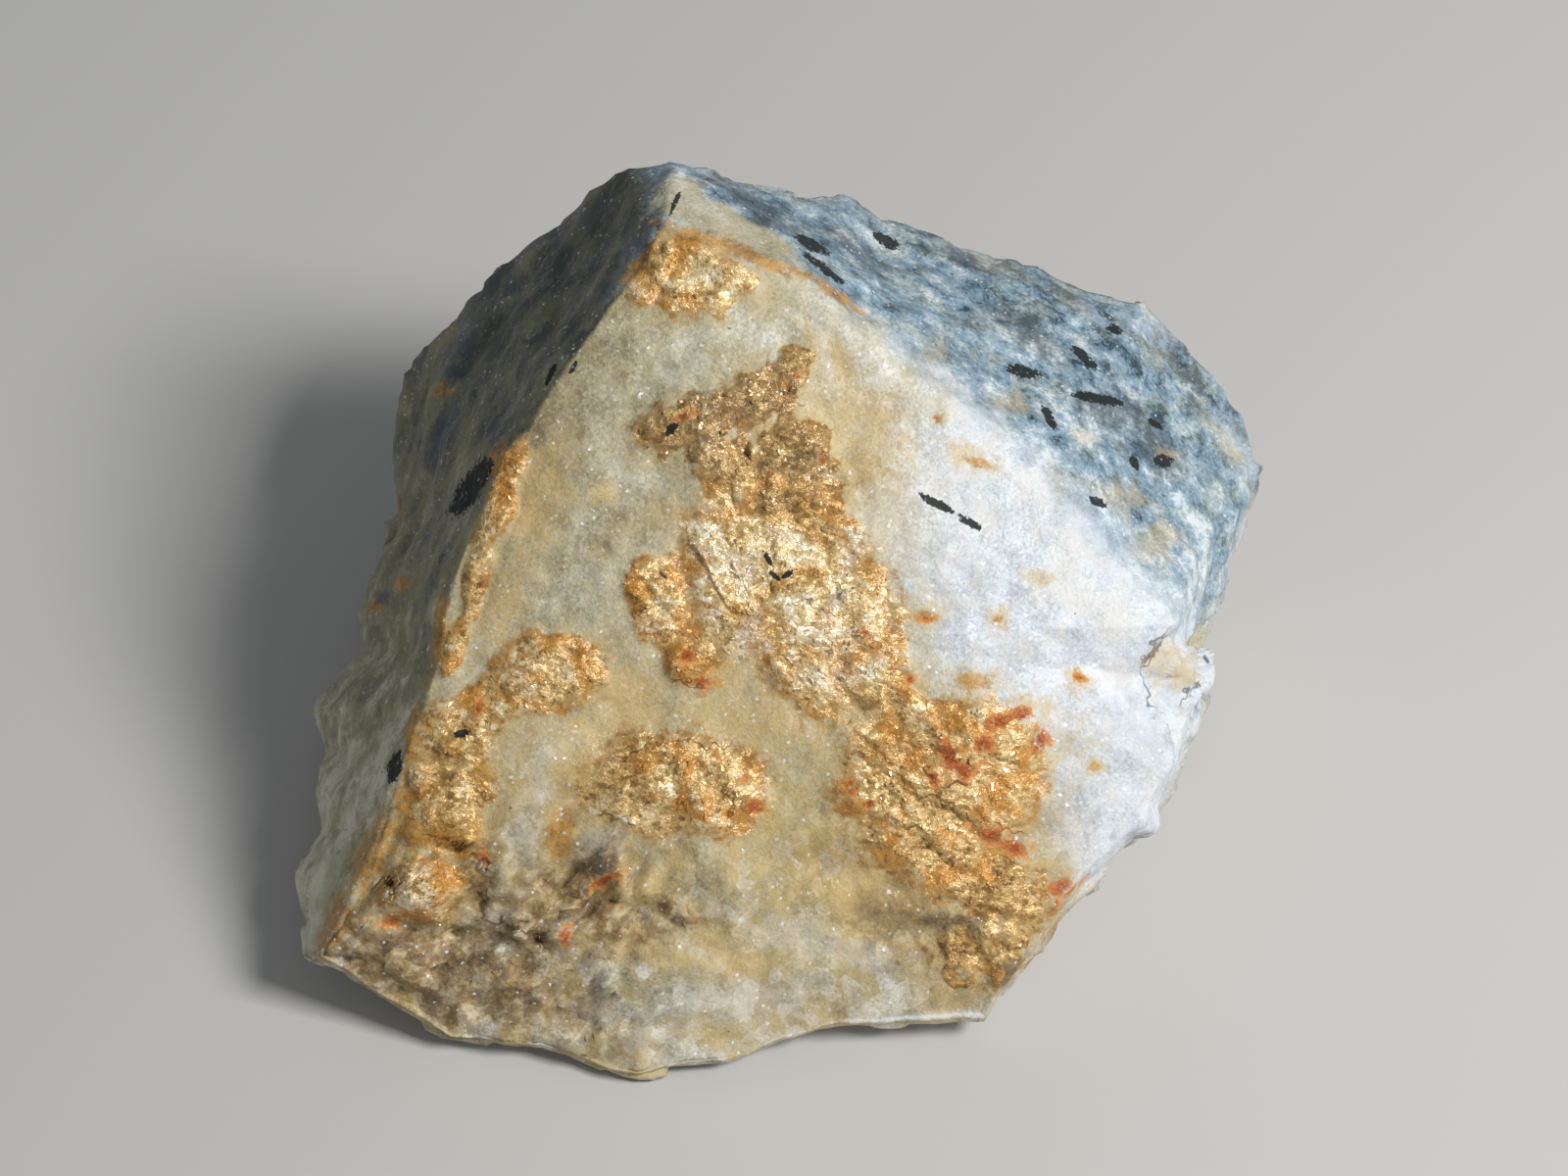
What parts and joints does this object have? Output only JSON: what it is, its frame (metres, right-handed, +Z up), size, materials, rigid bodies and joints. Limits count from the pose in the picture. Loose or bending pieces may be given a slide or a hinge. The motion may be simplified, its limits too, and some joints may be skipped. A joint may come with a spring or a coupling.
{
  "type": "pyroaurite specimen",
  "caption": "Angular hand specimen of pale marble with golden, flaky pyroaurite crusts over its broad face, lying on a flat underside.",
  "frame": {"origin": "middle of the flat underside, at table height", "axes": "+Z up; +X runs to the right as seen from the front; +Y runs from the toe of the broad face towards the back"},
  "size_m": [0.0686, 0.0559, 0.0401],
  "materials": {
    "marble": "broken, sugary, matt with fine glints",
    "pyroaurite": "golden, pearly, flaky crust"
  },
  "bodies": {
    "root": {"stone": "marble"}
  },
  "joints": []
}
